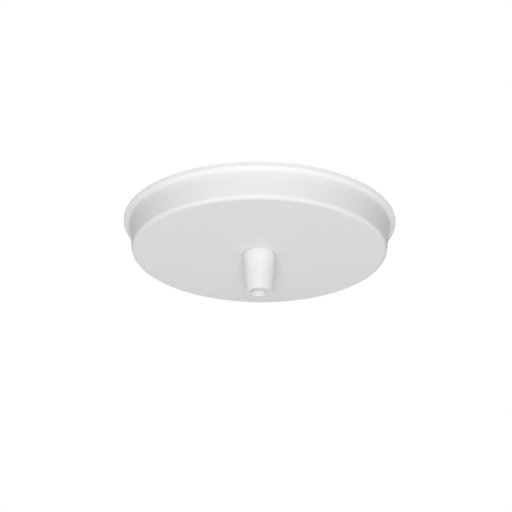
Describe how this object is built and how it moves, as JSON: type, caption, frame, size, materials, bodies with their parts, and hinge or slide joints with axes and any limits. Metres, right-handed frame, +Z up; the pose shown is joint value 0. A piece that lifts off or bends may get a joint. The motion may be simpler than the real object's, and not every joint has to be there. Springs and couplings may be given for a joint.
{
  "type": "electrical ceiling rose",
  "caption": "Round flanged metal ceiling cup held up by a conical plastic cord grip, with its ceiling bracket, hollow tube, terminal strip and earth screw inside.",
  "frame": {"origin": "on the axis of the cup and tube, in the ceiling plane, midway between the two ceiling screw slots", "axes": "+Z up, into the ceiling, along the tube; +X along the bracket's slotted bar; +Y towards the terminal strip"},
  "size_m": [0.12, 0.12, 0.0325],
  "materials": {
    "painted_steel": "satin white powder paint on pressed steel",
    "white_plastic": "white moulded plastic, semi-gloss",
    "clear_nylon": "natural nylon, slightly milky",
    "plated_steel": "bright zinc plate over pressed steel",
    "plated_tube": "nickel plate on threaded tube",
    "strip_nylon": "natural white moulded nylon",
    "brass": "turned brass",
    "screw_steel": "zinc plated screw",
    "screw_brass": "turned brass screw"
  },
  "bodies": {
    "bracket": {"mounting_bracket": "plated_steel", "threaded_tube": "plated_tube", "tube_bush": "clear_nylon", "tooth_washer": "plated_steel", "top_locknut": "plated_steel", "bottom_locknut": "plated_steel", "terminal_housing": "strip_nylon", "terminal_barrel_1": "brass", "terminal_barrel_2": "brass", "terminal_barrel_3": "brass", "block_screw_1": "screw_steel", "block_screw_2": "screw_steel", "earth_cup_washer": "brass"},
    "canopy": {"canopy_cup": "painted_steel"},
    "collet": {"cord_collet": "clear_nylon"},
    "cone": {"grip_cone": "white_plastic"},
    "earth_screw": {"earth_screw": "screw_brass"},
    "terminal_screw_1": {"terminal_screw_1": "screw_steel"},
    "terminal_screw_2": {"terminal_screw_2": "screw_steel"},
    "terminal_screw_3": {"terminal_screw_3": "screw_steel"},
    "terminal_screw_4": {"terminal_screw_4": "screw_steel"},
    "terminal_screw_5": {"terminal_screw_5": "screw_steel"},
    "terminal_screw_6": {"terminal_screw_6": "screw_steel"}
  },
  "joints": [
    {"name": "canopy_lower", "type": "slide", "parent": "bracket", "child": "canopy", "axis": [0, 0, -1], "range_m": [0, 0.06]},
    {"name": "grip_advance", "type": "slide", "parent": "canopy", "child": "collet", "axis": [0, 0, -1], "range_m": [0, 0.008]},
    {"name": "cone_turn", "type": "hinge", "parent": "collet", "child": "cone", "pos_m": [0, 0, -0.0145], "axis": [0, 0, -1], "range_deg": [0, 2880]},
    {"name": "earth_screw_travel", "type": "slide", "parent": "bracket", "child": "earth_screw", "axis": [0, 0, -1], "range_m": [0, 0.0024]},
    {"name": "terminal_screw_1_travel", "type": "slide", "parent": "bracket", "child": "terminal_screw_1", "axis": [0, 0, -1], "range_m": [0, 0.0016]},
    {"name": "terminal_screw_2_travel", "type": "slide", "parent": "bracket", "child": "terminal_screw_2", "axis": [0, 0, -1], "range_m": [0, 0.0016]},
    {"name": "terminal_screw_3_travel", "type": "slide", "parent": "bracket", "child": "terminal_screw_3", "axis": [0, 0, -1], "range_m": [0, 0.0016]},
    {"name": "terminal_screw_4_travel", "type": "slide", "parent": "bracket", "child": "terminal_screw_4", "axis": [0, 0, -1], "range_m": [0, 0.0016]},
    {"name": "terminal_screw_5_travel", "type": "slide", "parent": "bracket", "child": "terminal_screw_5", "axis": [0, 0, -1], "range_m": [0, 0.0016]},
    {"name": "terminal_screw_6_travel", "type": "slide", "parent": "bracket", "child": "terminal_screw_6", "axis": [0, 0, -1], "range_m": [0, 0.0016]}
  ],
  "couplings": [
    {"joint": "cone_turn", "follows": "grip_advance", "rad_per_m": 6283.2}
  ]
}
